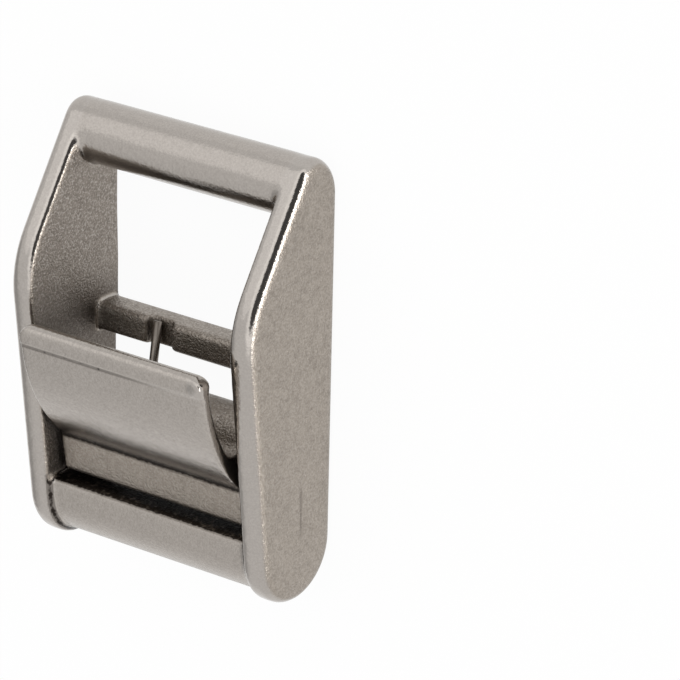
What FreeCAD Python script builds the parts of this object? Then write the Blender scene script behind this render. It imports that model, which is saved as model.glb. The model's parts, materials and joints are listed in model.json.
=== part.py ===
"""A cast cam buckle for 25 mm webbing, lying on its back.

X runs across the buckle, Y along it towards the bar that the fixed webbing is sewn round, and Z away from
the back. The origin is below the middle of the frame, in the plane of its back. The free strap comes round
the bottom bar and out between that bar and the toothed cam. Pressing the thumb plate back lets it go.
"""
import FreeCAD, Part
import os
from math import acos, atan2, cos, pi, radians, sin, sqrt, tan
from types import SimpleNamespace
import Sketcher

SIZES = {
    # frame, seen from the side
    "buckle_length": 50.5,
    "tip_height": 5.4,
    "tip_front_radius": 2.8,
    "tip_back_radius": 5.0,
    "knee_inset": 16.2,
    "knee_height": 15.75,
    "knee_radius": 11.5,
    "toe_height": 11.72,
    "toe_radius": 7.1,
    "toe_overshoot": 0.45,
    # frame, seen from the front
    "inner_width": 27.0,
    "cheek_thickness": 3.0,
    "rim_radius": 1.2,
    "inner_rim_bevel": 0.4,
    # top bar
    "top_bar_radius": 3.55,
    "top_bar_inset": 3.65,
    "top_bar_proud": 0.05,
    # cross bar
    "cross_bar_from_pin": 9.0,
    "cross_bar_depth": 3.35,
    "cross_bar_height": 4.0,
    "cross_bar_back_radius": 1.2,
    "cross_bar_front_radius": 0.7,
    "notch_across": 4.75,
    "notch_width": 3.3,
    "notch_depth": 1.0,
    # bottom bar
    "bottom_bar_depth": 8.3,
    "bottom_bar_step": 0.75,
    "bottom_bar_back": 1.0,
    "strap_front_radius": 0.7,
    "strap_back_radius": 2.5,
    "heel_back_radius": 1.0,
    # pivot pin
    "pin_from_toe": 17.85,
    "pin_height": 7.7,
    "pin_radius": 2.0,
    "pin_chamfer": 0.3,
    "pin_seat": 1.9,
    "pin_clearance": 0.05,
    # lever
    "lever_side_gap": 1.0,
    "hub_radius": 3.8,
    "boss_radius": 3.0,
    "side_clearance": 0.2,
    "thumb_radius": 20.7,
    "thumb_centre_along": 11.77,
    "thumb_reach": 10.3,
    "plate_thickness": 1.45,
    "bead_radius": 0.95,
    "lip_width": 1.0,
    "lip_step": 0.7,
    "plate_corner_radius": 1.6,
    "valley_radius": 1.5,
    "crease_radius": 0.5,
    "crease_along": 3.85,
    "face_end_angle": 169.8,
    "cam_gap": 0.33,
    "cam_offset": 1.2,
    "cam_tail": 5.2,
    "cam_corner_radius": 0.8,
    "tooth_count": 8,
    "tooth_angle": 6.2,
    "tooth_first_angle": 183.0,
    "tooth_depth": 0.5,
    "slot_clearance": 0.8,
    "slot_bite": 0.105,
    "slot_side_gap": 0.3,
    "flank_stop": 2.0,
    "lug_root_along": 3.6,
    "lug_root_up": 3.2,
    # spring
    "wire_radius": 0.5,
    "coil_clearance": 0.15,
    "coil_whole_turns": 7,
    "coil_gap": 0.04,
    "coil_left": 5.1,
    "leg_gap": 0.05,
    "notch_leg": 9.3,
    "thumb_leg": 7.4,
}

PIN_ALONG = "(sizes.pin_from_toe - sizes.buckle_length / 2)"
CROSS_BAR_TOP = f"({PIN_ALONG} + sizes.cross_bar_from_pin)"
LEVER_WIDTH = "(sizes.inner_width - 2 * sizes.lever_side_gap)"

# The coil goes round the pin, and the lever leaves room round and beside the coil.
COIL_RADIUS = "(sizes.pin_radius + sizes.coil_clearance + sizes.wire_radius)"
COIL_PITCH = "(2 * sizes.wire_radius + sizes.coil_gap)"
SLOT_RADIUS = f"({COIL_RADIUS} + sizes.wire_radius + sizes.slot_clearance)"

# The thumb plate's back just meets the coil's room, which sets how far its centre lies below the pin.
THUMB_SPAN = f"(sizes.thumb_radius - sizes.plate_thickness - {SLOT_RADIUS} + sizes.slot_bite)"
THUMB_UP = f"(-sqrt({THUMB_SPAN} ^ 2 - sizes.thumb_centre_along ^ 2))"

# One leg lies on the far edge of the notch, and the tip of the other on the back of the thumb plate.
LEG_DROP = "(sizes.pin_height - sizes.cross_bar_height + sizes.notch_depth - sizes.leg_gap)"
NOTCH_LEG_TILT = (f"(acos(({COIL_RADIUS} + sizes.wire_radius) / sqrt({LEG_DROP} ^ 2 + sizes.cross_bar_from_pin ^ 2))"
                  f" - atan(sizes.cross_bar_from_pin / {LEG_DROP}))")
TIP_REACH = f"sqrt({COIL_RADIUS} ^ 2 + sizes.thumb_leg ^ 2)"
TIP_TO_CENTRE = "(sizes.thumb_radius - sizes.plate_thickness - sizes.wire_radius - sizes.leg_gap)"
THUMB_LEG_ANGLE = (f"({NOTCH_LEG_TILT} - acos(sizes.thumb_centre_along / {THUMB_SPAN})"
                   f" + acos(({TIP_REACH} ^ 2 + {THUMB_SPAN} ^ 2 - {TIP_TO_CENTRE} ^ 2)"
                   f" / (2 * {TIP_REACH} * {THUMB_SPAN})) - atan({COIL_RADIUS} / sizes.thumb_leg))")
COIL_TURNS = f"(sizes.coil_whole_turns + (180 deg - {THUMB_LEG_ANGLE}) / 360 deg)"
COIL_RIGHT = f"({COIL_PITCH} * {COIL_TURNS} - sizes.coil_left)"
SLOT_LEFT = "(sizes.coil_left + sizes.wire_radius + sizes.slot_side_gap)"
SLOT_RIGHT = f"({COIL_RIGHT} + sizes.wire_radius + sizes.slot_side_gap)"

# The cam stops short of the bottom bar's strap face, which is square to the front edge of the cheeks.
LEAN = "atan((sizes.knee_height - sizes.toe_height) / (sizes.buckle_length - sizes.knee_inset))"
CAM_OVER_BAR = (f"(sizes.pin_height + sizes.cam_offset - sizes.toe_height"
                f" - sizes.bottom_bar_depth * tan({LEAN}) + sizes.bottom_bar_step / cos({LEAN}))")
CAM_RADIUS = (f"((sizes.pin_from_toe - sizes.bottom_bar_depth) * cos({LEAN})"
              f" + {CAM_OVER_BAR} * sin({LEAN}) - sizes.cam_gap)")

START, END, CENTRE = range(1, 4)
X_AXIS, Y_AXIS, EXTERNAL = range(-1, -4, -1)


def make_sheet(doc):
    """The driving dimensions, in millimetres and degrees."""
    sheet = doc.addObject("Spreadsheet::Sheet", "sizes")
    for row, (alias, value) in enumerate(SIZES.items(), 1):
        sheet.set(f"A{row}", alias)
        sheet.set(f"B{row}", str(value))
        sheet.setAlias(f"B{row}", alias)
    doc.recompute()
    return sheet


def drawing_sizes(sheet):
    """The sheet's sizes, and the formulas that the drawings start from, as plain numbers."""
    sizes = SimpleNamespace(**SIZES)
    for name, formula in (("slot_radius", SLOT_RADIUS), ("thumb_span", THUMB_SPAN),
                          ("notch_leg_tilt", NOTCH_LEG_TILT), ("cam_radius", CAM_RADIUS)):
        setattr(sizes, name, float(sheet.evalExpression(formula)))
    return sizes


def new_body(doc, name):
    body = doc.addObject("PartDesign::Body", name)
    body.Label = name
    return body


def put_on_pin(body):
    body.setExpression("Placement.Base.y", PIN_ALONG + " * 1 mm")
    body.setExpression("Placement.Base.z", "sizes.pin_height * 1 mm")


def origin_item(body, role):
    return next(item for item in body.Origin.OriginFeatures if item.Role == role)


def polar(centre, radius, angle):
    return centre[0] + radius * cos(angle), centre[1] + radius * sin(angle)


def heading(start, end):
    return atan2(end[1] - start[1], end[0] - start[0])


class Profile:
    """A sketch whose constraints read the sheet. Each shape is drawn in its place and then held there."""

    def __init__(self, body, name, plane="YZ_Plane", raised=None, across_line=None):
        self.sketch = body.newObject("Sketcher::SketchObject", name)
        if across_line:
            self.sketch.AttachmentSupport = [(across_line.sketch, "Edge1")]
            self.sketch.MapMode = "NormalToEdge"
        else:
            self.sketch.AttachmentSupport = [(origin_item(body, plane), "")]
            self.sketch.MapMode = "FlatFace"
        if raised:
            self.sketch.setExpression("AttachmentOffset.Base.z", raised)

    def line(self, start, end, helper=False):
        segment = Part.LineSegment(FreeCAD.Vector(*start, 0), FreeCAD.Vector(*end, 0))
        return self.sketch.addGeometry(segment, helper)

    def point(self, spot):
        return self.sketch.addGeometry(Part.Point(FreeCAD.Vector(*spot, 0)), True)

    def circle(self, centre, radius, helper=False):
        shape = Part.Circle(FreeCAD.Vector(*centre, 0), FreeCAD.Vector(0, 0, 1), radius)
        return self.sketch.addGeometry(shape, helper)

    def arc(self, centre, radius, first, last):
        circle = Part.Circle(FreeCAD.Vector(*centre, 0), FreeCAD.Vector(0, 0, 1), radius)
        return self.sketch.addGeometry(Part.ArcOfCircle(circle, first, last), False)

    def rule(self, kind, *where):
        return self.sketch.addConstraint(Sketcher.Constraint(kind, *where))

    def smooth(self, *joins):
        for join in joins:
            self.rule("Tangent", *join)

    def meet(self, *joins):
        for join in joins:
            self.rule("Coincident", *join)

    def values(self, *formulas):
        return tuple(float(self.sketch.evalExpression(formula)) for formula in formulas)

    def size(self, kind, where, formula):
        """A measure that follows the sheet. A negative distance is taken from the other end."""
        value, = self.values(formula)
        if value < 0:
            where, formula, value = where[2:] + where[:2], f"-({formula})", -value
        index = self.rule(kind, *where, value)
        name = f"size_{index}"
        self.sketch.renameConstraint(index, name)
        self.sketch.setExpression("Constraints." + name, formula)

    def place(self, shape, end, along, up):
        """Holds a point at its two coordinates, each a formula, or None where another rule sets it."""
        for kind, formula, axis in (("DistanceX", along, Y_AXIS), ("DistanceY", up, X_AXIS)):
            if formula == "0":
                self.rule("PointOnObject", shape, end, axis)
            elif formula:
                self.size(kind, (X_AXIS, START, shape, end), formula)

    def path(self, corners):
        """Straight sides from corner to corner, open at the end. A corner is a pair of formulas."""
        spots = [self.values(*pair) for pair in corners]
        sides = [self.line(start, end) for start, end in zip(spots, spots[1:])]
        self.meet(*[(side, END, side + 1, START) for side in sides[:-1]])
        for side, corner in zip(sides, corners):
            self.place(side, START, *corner)
        self.place(sides[-1], END, *corners[-1])
        return sides

    def polygon(self, corners):
        sides = self.path(corners)
        last = self.line(self.values(*corners[-1]), self.values(*corners[0]))
        self.meet((sides[-1], END, last, START), (last, END, sides[0], START))

    def ring(self, along, up, radius):
        ring = self.circle(self.values(along, up), *self.values(radius))
        self.place(ring, CENTRE, along, up)
        self.size("Radius", (ring,), radius)
        return ring


def extrude(body, kind, profile, name, length, symmetric=False, flipped=False):
    feature = body.newObject("PartDesign::" + kind, name)
    feature.Profile = profile.sketch
    feature.SideType = "Symmetric" if symmetric else "One side"
    feature.Reversed = flipped
    feature.setExpression("Length", length)
    body.Document.recompute()
    return feature


def dress(body, kind, name, size, wanted):
    """Rounds or bevels the edges of the body that pass the test."""
    base = body.Tip
    edges = [f"Edge{i}" for i, edge in enumerate(base.Shape.Edges, 1) if wanted(edge)]
    if not edges:
        raise RuntimeError(name + " finds no edge")
    feature = body.newObject("PartDesign::" + kind, name)
    feature.Base = (base, edges)
    feature.setExpression("Radius" if kind == "Fillet" else "Size", size)
    body.Document.recompute()
    return feature


def mirror(body, name, feature):
    """Repeats a feature on the other side of the middle."""
    mirrored = body.newObject("PartDesign::Mirrored", name)
    mirrored.Originals = [feature]
    mirrored.MirrorPlane = (origin_item(body, "YZ_Plane"), [""])
    body.Tip = mirrored
    body.Document.recompute()


def near(first, second, slack=1e-3):
    return abs(first - second) < slack


def crosswise(edge, along, up, slack=1e-3):
    """True for an edge that runs across the buckle and is a single point in the side view."""
    box = edge.BoundBox
    return (near(box.YMin, along, slack) and near(box.YMax, along, slack)
            and near(box.ZMin, up, slack) and near(box.ZMax, up, slack))


def on_side(edge, across):
    """True for an edge in one of the two planes at this distance from the middle."""
    box = edge.BoundBox
    return near(box.XMin, box.XMax) and near(abs(box.XMin), across)


def side_outline(body, s):
    """The cheek from the side: flat back, rounded tip, slanted front, knee, lower front, toe and heel."""
    profile = Profile(body, "side_outline")
    tip, end = s.buckle_length / 2, -s.buckle_length / 2
    corner, knee, toe = (tip, s.tip_height), (tip - s.knee_inset, s.knee_height), (end, s.toe_height)
    slant, lean = heading(knee, corner), heading(toe, knee)
    front = (tip - s.tip_front_radius, s.tip_height - s.tip_front_radius * tan((pi / 2 + slant) / 2))
    reach = s.tip_back_radius - s.tip_front_radius
    back = (front[0] - sqrt(reach ** 2 - (s.tip_back_radius - front[1]) ** 2), s.tip_back_radius)
    knee_centre = polar(knee, -s.knee_radius / cos((lean - slant) / 2), (slant + lean + pi) / 2)
    ball_along = end - s.toe_overshoot + s.toe_radius
    ball = (ball_along, s.toe_height + (ball_along - end) * tan(lean) - s.toe_radius / cos(lean))
    rise = ball[1] - s.toe_overshoot
    heel_radius = rise + sqrt(rise ** 2 - (s.toe_radius - s.toe_overshoot) ** 2 - ball[1] ** 2 + s.toe_radius ** 2)
    heel = (end + heel_radius, heel_radius)
    turn, swing = heading(back, front), heading(ball, heel) % (2 * pi)
    over_slant, over_lean = slant + pi / 2, lean + pi / 2

    back_line = profile.line((heel[0], 0), (back[0], 0))
    tip_back = profile.arc(back, s.tip_back_radius, -pi / 2, turn)
    tip_front = profile.arc(front, s.tip_front_radius, turn, over_slant)
    slant_line = profile.line(polar(front, s.tip_front_radius, over_slant),
                              polar(knee_centre, s.knee_radius, over_slant))
    knee_arc = profile.arc(knee_centre, s.knee_radius, over_slant, over_lean)
    lean_line = profile.line(polar(knee_centre, s.knee_radius, over_lean), polar(ball, s.toe_radius, over_lean))
    toe_arc = profile.arc(ball, s.toe_radius, over_lean, swing)
    heel_arc = profile.arc(heel, heel_radius, swing, 1.5 * pi)
    around = [back_line, tip_back, tip_front, slant_line, knee_arc, lean_line, toe_arc, heel_arc]
    profile.smooth(*[(one, END, other, START) for one, other in zip(around, around[1:] + around[:1])])
    profile.rule("PointOnObject", back_line, START, X_AXIS)

    corner_point, knee_point, toe_point = (profile.point(spot) for spot in (corner, knee, toe))
    profile.place(corner_point, START, "sizes.buckle_length / 2", "sizes.tip_height")
    profile.place(knee_point, START, "sizes.buckle_length / 2 - sizes.knee_inset", "sizes.knee_height")
    profile.place(toe_point, START, "-sizes.buckle_length / 2", "sizes.toe_height")
    for spot, side in ((corner_point, slant_line), (knee_point, slant_line),
                       (knee_point, lean_line), (toe_point, lean_line)):
        profile.rule("PointOnObject", spot, START, side)
    profile.place(tip_front, CENTRE, "sizes.buckle_length / 2 - sizes.tip_front_radius", None)
    profile.place(toe_arc, CENTRE, "sizes.toe_radius - sizes.toe_overshoot - sizes.buckle_length / 2", None)
    end_line = profile.line((end, 0), (end, heel[1]), helper=True)
    profile.place(end_line, START, "-sizes.buckle_length / 2", "0")
    profile.rule("Vertical", end_line)
    profile.rule("Horizontal", end_line, END, heel_arc, CENTRE)
    profile.rule("PointOnObject", end_line, END, heel_arc)
    for shape, name in ((tip_back, "tip_back"), (tip_front, "tip_front"), (knee_arc, "knee"), (toe_arc, "toe")):
        profile.size("Radius", (shape,), f"sizes.{name}_radius")
    return profile, SimpleNamespace(ball=ball, heel=heel, heel_radius=heel_radius, slant=slant, lean=lean, swing=swing)


def side_window(body, s, cheek, form):
    """What is open between the cheeks, but for the bottom bar: round the top bar and over the cross bar.

    The top bar stands a hair proud of the cheeks' slant, which cuts a narrow flat on it.
    """
    profile = Profile(body, "side_window")
    profile.sketch.addExternal(cheek.sketch.Name, "Edge4")
    slant_rim = EXTERNAL
    along = "sizes.buckle_length / 2 - sizes.top_bar_inset"
    top, bottom = CROSS_BAR_TOP, CROSS_BAR_TOP + " - sizes.cross_bar_depth"
    low, high = "-sizes.cheek_thickness", "2 * sizes.knee_height"
    slant_above = s.tip_height - s.top_bar_inset * tan(form.slant)
    bar = (s.buckle_length / 2 - s.top_bar_inset,
           slant_above - (s.top_bar_radius - s.top_bar_proud) / cos(form.slant))
    outward = form.slant + pi / 2
    start = polar(bar, s.top_bar_radius, outward)
    roof_start = polar(bar, (2 * s.knee_height - bar[1]) / sin(outward), outward)
    bar_arc = profile.arc(bar, s.top_bar_radius, outward, 1.5 * pi)
    corners = [
        (along, low),
        (top, low),
        (top, "sizes.cross_bar_height"),
        (bottom, "sizes.cross_bar_height"),
        (bottom, low),
        ("-sizes.buckle_length", low),
        ("-sizes.buckle_length", high),
    ]
    sides = profile.path(corners)
    down = profile.line((bar[0], bar[1] - s.top_bar_radius), profile.values(along, low))
    roof = profile.line(profile.values("-sizes.buckle_length", high), roof_start)
    drop = profile.line(roof_start, start)
    profile.place(bar_arc, CENTRE, along, None)
    profile.size("Distance", (bar_arc, CENTRE, slant_rim), "sizes.top_bar_radius - sizes.top_bar_proud")
    profile.size("Radius", (bar_arc,), "sizes.top_bar_radius")
    profile.rule("Perpendicular", drop, slant_rim)
    profile.rule("PointOnObject", bar_arc, CENTRE, drop)
    profile.meet((bar_arc, END, down, START), (down, END, sides[0], START), (sides[-1], END, roof, START),
                 (roof, END, drop, START), (drop, END, bar_arc, START))
    profile.rule("Vertical", down)
    profile.rule("Horizontal", roof)
    return profile


def anvil_outline(body, s, cheek, form):
    """The bottom bar from the side. It follows the toe and the heel a step below the cheeks' edge."""
    profile = Profile(body, "anvil_outline")
    step, top = s.bottom_bar_step, -s.buckle_length / 2 + s.bottom_bar_depth
    toe_radius, heel_radius = s.toe_radius - step, form.heel_radius - step
    over = form.lean + pi / 2
    joint = polar(form.ball, toe_radius, over)
    strap_edge = (top, joint[1] + (top - joint[0]) * tan(form.lean))
    strap_foot = (top + (strap_edge[1] - s.bottom_bar_back) * tan(form.lean), s.bottom_bar_back)
    foot = (form.heel[0] - sqrt(heel_radius ** 2 - (form.heel[1] - s.bottom_bar_back) ** 2), s.bottom_bar_back)
    for edge in ("Edge7", "Edge8", "Edge6"):
        profile.sketch.addExternal(cheek.sketch.Name, edge)
    toe_rim, heel_rim, lean_rim = (EXTERNAL - order for order in range(3))
    front = profile.line(strap_edge, joint)
    toe_arc = profile.arc(form.ball, toe_radius, over, form.swing)
    heel_arc = profile.arc(form.heel, heel_radius, form.swing, heading(form.heel, foot) % (2 * pi))
    back = profile.line(foot, strap_foot)
    anvil = profile.line(strap_foot, strap_edge)
    profile.smooth((front, END, toe_arc, START), (toe_arc, END, heel_arc, START))
    profile.meet((heel_arc, END, back, START), (back, END, anvil, START), (anvil, END, front, START),
                 (toe_arc, CENTRE, toe_rim, CENTRE), (heel_arc, CENTRE, heel_rim, CENTRE))
    profile.rule("Parallel", front, lean_rim)
    profile.rule("Horizontal", back)
    profile.rule("Perpendicular", anvil, front)
    profile.size("Radius", (toe_arc,), "sizes.toe_radius - sizes.bottom_bar_step")
    profile.place(anvil, START, None, "sizes.bottom_bar_back")
    profile.place(anvil, END, "sizes.bottom_bar_depth - sizes.buckle_length / 2", None)
    return profile, strap_edge, strap_foot, foot


def make_frame(doc, s):
    """One casting: two cheeks, the round top bar, the cross bar with its notch, and the bottom bar."""
    body = new_body(doc, "frame")
    body.setExpression("Placement.Base.z", "0 mm")
    outside = s.inner_width / 2 + s.cheek_thickness
    bar_top = s.pin_from_toe - s.buckle_length / 2 + s.cross_bar_from_pin
    bar_bottom, bar_high = bar_top - s.cross_bar_depth, s.cross_bar_height
    cheek, form = side_outline(body, s)
    extrude(body, "Pad", cheek, "block", "sizes.inner_width + 2 * sizes.cheek_thickness", symmetric=True)
    extrude(body, "Pocket", side_window(body, s, cheek, form), "window", "sizes.inner_width", symmetric=True)
    dress(body, "Fillet", "rim", "sizes.rim_radius", lambda edge: on_side(edge, outside))
    for name, high in (("cross_bar_back", 0), ("cross_bar_front", bar_high)):
        dress(body, "Fillet", name, f"sizes.{name}_radius",
              lambda edge: crosswise(edge, bar_top, high) or crosswise(edge, bar_bottom, high))
    dress(body, "Chamfer", "inner_rim", "sizes.inner_rim_bevel",
          lambda edge: on_side(edge, s.inner_width / 2) and edge.BoundBox.ZMax > s.toe_height)
    anvil, strap_edge, strap_foot, foot = anvil_outline(body, s, cheek, form)
    extrude(body, "Pad", anvil, "bottom_bar", "sizes.inner_width + sizes.cheek_thickness", symmetric=True)

    hole = Profile(body, "pin_hole_outline", raised="sizes.inner_width / 2 + sizes.pin_seat")
    hole.ring(PIN_ALONG, "sizes.pin_height", "sizes.pin_radius")
    extrude(body, "Pocket", hole, "pin_hole", "2 * sizes.inner_width")

    notch = Profile(body, "notch_outline", plane="XY_Plane", raised="2 * sizes.cross_bar_height")
    right, left = "sizes.notch_width / 2 - sizes.notch_across", "-sizes.notch_width / 2 - sizes.notch_across"
    above = CROSS_BAR_TOP + " + sizes.notch_depth"
    below = CROSS_BAR_TOP + " - sizes.cross_bar_depth - sizes.notch_depth"
    notch.polygon([(right, above), (left, above), (left, below), (right, below)])
    extrude(body, "Pocket", notch, "notch", "sizes.cross_bar_height + sizes.notch_depth")

    roundings = (
        ("strap_front", lambda edge: crosswise(edge, *strap_edge, 0.01)),
        ("strap_back", lambda edge: crosswise(edge, *strap_foot, 0.01)),
        ("heel_back", lambda edge: crosswise(edge, *foot, 0.01)),
    )
    for name, wanted in roundings:
        dress(body, "Fillet", name, f"sizes.{name}_radius", wanted)
    return body


def lever_places(s):
    """Where the parts of the lever's side view meet, measured from the pin."""
    inner = s.thumb_radius - s.plate_thickness
    thumb = (s.thumb_centre_along, -sqrt(s.thumb_span ** 2 - s.thumb_centre_along ** 2))
    middle = s.thumb_radius - s.plate_thickness / 2
    lip_radius = middle + s.bead_radius
    bead = (s.thumb_reach, thumb[1] + sqrt(middle ** 2 - (s.thumb_reach - thumb[0]) ** 2))
    crease = (-s.crease_along, thumb[1] + sqrt(s.thumb_radius ** 2 - (s.crease_along + thumb[0]) ** 2))
    cam = (0, s.cam_offset)
    face_end = polar(cam, s.cam_radius, radians(s.face_end_angle))
    tail = (-sqrt(s.cam_radius ** 2 - (s.cam_tail + s.cam_offset) ** 2), -s.cam_tail)
    flank_angle = heading((0, 0), tail) + acos(s.hub_radius / sqrt(tail[0] ** 2 + tail[1] ** 2))
    flank_end = polar((0, 0), s.hub_radius, flank_angle)

    def apart(from_one, from_other, distance):
        """The angle between two points as seen from a third, from the three distances."""
        return acos((from_one ** 2 + from_other ** 2 - distance ** 2) / (2 * from_one * from_other))

    def beside_plate(from_pin, from_thumb):
        return polar((0, 0), from_pin, heading((0, 0), thumb) + apart(from_pin, s.thumb_span, from_thumb))

    top_angle = heading(thumb, bead)
    lip_angle = top_angle + apart(lip_radius, lip_radius, s.lip_width)
    foot_angle = lip_angle + apart(lip_radius, s.thumb_radius, s.lip_step)
    valley = beside_plate(s.hub_radius + s.valley_radius, inner - s.valley_radius)
    slope = (flank_end[1] - tail[1]) / (flank_end[0] - tail[0])
    return SimpleNamespace(
        thumb=thumb, inner=inner, bead=bead, crease=crease, cam=cam, face_end=face_end, tail=tail,
        flank_angle=flank_angle, flank_end=flank_end, valley=valley,
        lip_radius=lip_radius, top_angle=top_angle, lip_angle=lip_angle, foot_angle=foot_angle,
        back_end=polar(thumb, inner, top_angle + apart(middle, inner, s.bead_radius)),
        root=beside_plate(s.slot_radius, inner),
        valley_top=polar(valley, s.valley_radius, heading(thumb, valley)),
        stop_up=(-s.flank_stop, -sqrt(s.slot_radius ** 2 - s.flank_stop ** 2)),
        stop_low=(-s.flank_stop, tail[1] + slope * (-s.flank_stop - tail[0])))


def blade_outline(body, s, at):
    """Thumb plate with its bead, flat face and cam, open at the back for the coil."""
    blade = Profile(body, "blade_outline")
    bead = blade.arc(at.bead, s.bead_radius, heading(at.bead, at.back_end), at.top_angle)
    lip = blade.arc(at.thumb, at.lip_radius, at.top_angle, at.lip_angle)
    step = blade.line(polar(at.thumb, at.lip_radius, at.lip_angle), polar(at.thumb, s.thumb_radius, at.foot_angle))
    front = blade.arc(at.thumb, s.thumb_radius, at.foot_angle, heading(at.thumb, at.crease))
    face = blade.line(at.crease, at.face_end)
    cam = blade.arc(at.cam, s.cam_radius, heading(at.cam, at.face_end), heading(at.cam, at.tail) % (2 * pi))
    flank = blade.line(at.tail, at.stop_low)
    stop = blade.line(at.stop_low, at.stop_up)
    slot = blade.arc((0, 0), s.slot_radius, heading((0, 0), at.root), heading((0, 0), at.stop_up) % (2 * pi))
    back = blade.arc(at.thumb, at.inner, heading(at.thumb, at.back_end), heading(at.thumb, at.root))
    hub = blade.circle((0, 0), s.hub_radius, helper=True)
    blade.smooth((bead, END, lip, START))
    blade.meet((lip, END, step, START), (step, END, front, START), (lip, CENTRE, front, CENTRE),
               (front, END, face, START), (face, END, cam, START),
               (cam, END, flank, START), (flank, END, stop, START), (stop, END, slot, END),
               (slot, START, back, END), (back, START, bead, START), (slot, CENTRE, X_AXIS, START),
               (hub, CENTRE, X_AXIS, START), (back, CENTRE, front, CENTRE))
    blade.place(front, CENTRE, "sizes.thumb_centre_along", THUMB_UP)
    blade.place(cam, CENTRE, "0", "sizes.cam_offset")
    blade.place(bead, CENTRE, "sizes.thumb_reach", None)
    blade.place(front, END, "-sizes.crease_along", None)
    blade.place(face, END, f"{CAM_RADIUS} * cos(sizes.face_end_angle)", None)
    blade.place(cam, END, None, "-sizes.cam_tail")
    blade.place(flank, END, "-sizes.flank_stop", None)
    blade.rule("Tangent", flank, hub)
    blade.rule("Vertical", stop)
    blade.size("Distance", (front, CENTRE, bead, CENTRE), "sizes.thumb_radius - sizes.plate_thickness / 2")
    blade.size("Distance", (lip, START, lip, END), "sizes.lip_width")
    blade.size("Distance", (step, START, step, END), "sizes.lip_step")
    for shape, radius in ((front, "sizes.thumb_radius"), (back, "sizes.thumb_radius - sizes.plate_thickness"),
                          (bead, "sizes.bead_radius"), (cam, CAM_RADIUS), (hub, "sizes.hub_radius"),
                          (slot, SLOT_RADIUS)):
        blade.size("Radius", (shape,), radius)
    return blade


def lug_outline(body, s, at, name, raised):
    """The hub round the pin with its smooth run into the back of the plate, rooted inside the blade."""
    lug = Profile(body, name + "_outline", raised=raised)
    root = (-s.lug_root_along, s.lug_root_up)
    flank = lug.line(at.tail, at.flank_end)
    hub = lug.arc((0, 0), s.hub_radius, at.flank_angle, heading((0, 0), at.valley))
    dip = lug.arc(at.valley, s.valley_radius, heading(at.thumb, at.valley), heading(at.valley, (0, 0)) % (2 * pi))
    chord = lug.line(at.valley_top, root)
    side = lug.line(root, at.tail)
    plate = lug.circle(at.thumb, at.inner, helper=True)
    cam = lug.circle(at.cam, s.cam_radius, helper=True)
    lug.smooth((flank, END, hub, START), (hub, END, dip, END))
    lug.rule("Tangent", dip, START, plate)
    lug.meet((dip, START, chord, START), (chord, END, side, START), (side, END, flank, START),
             (hub, CENTRE, X_AXIS, START))
    lug.place(plate, CENTRE, "sizes.thumb_centre_along", THUMB_UP)
    lug.place(cam, CENTRE, "0", "sizes.cam_offset")
    lug.rule("PointOnObject", flank, START, cam)
    lug.place(flank, START, None, "-sizes.cam_tail")
    lug.place(side, START, "-sizes.lug_root_along", "sizes.lug_root_up")
    for shape, radius in ((plate, "sizes.thumb_radius - sizes.plate_thickness"), (cam, CAM_RADIUS),
                          (hub, "sizes.hub_radius"), (dip, "sizes.valley_radius")):
        lug.size("Radius", (shape,), radius)
    return lug


def corner_outline(body):
    """What a round top corner of the thumb plate leaves out, seen from the front."""
    corner = Profile(body, "corner_outline", plane="XY_Plane")
    side, top, radius = LEVER_WIDTH + " / 2", "(sizes.thumb_reach + sizes.bead_radius)", "sizes.plate_corner_radius"
    low, inside = f"{top} - {radius}", f"{side} - {radius}"
    outer = [(inside, top), (inside, f"{top} + {radius}"), (f"{side} + {radius}", f"{top} + {radius}"),
             (f"{side} + {radius}", low), (side, low)]
    sides = corner.path(outer)
    round_off = corner.arc(corner.values(inside, low), *corner.values(radius), 0, pi / 2)
    corner.meet((sides[-1], END, round_off, START), (round_off, END, sides[0], START))
    corner.place(round_off, CENTRE, inside, None)
    return corner


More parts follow.
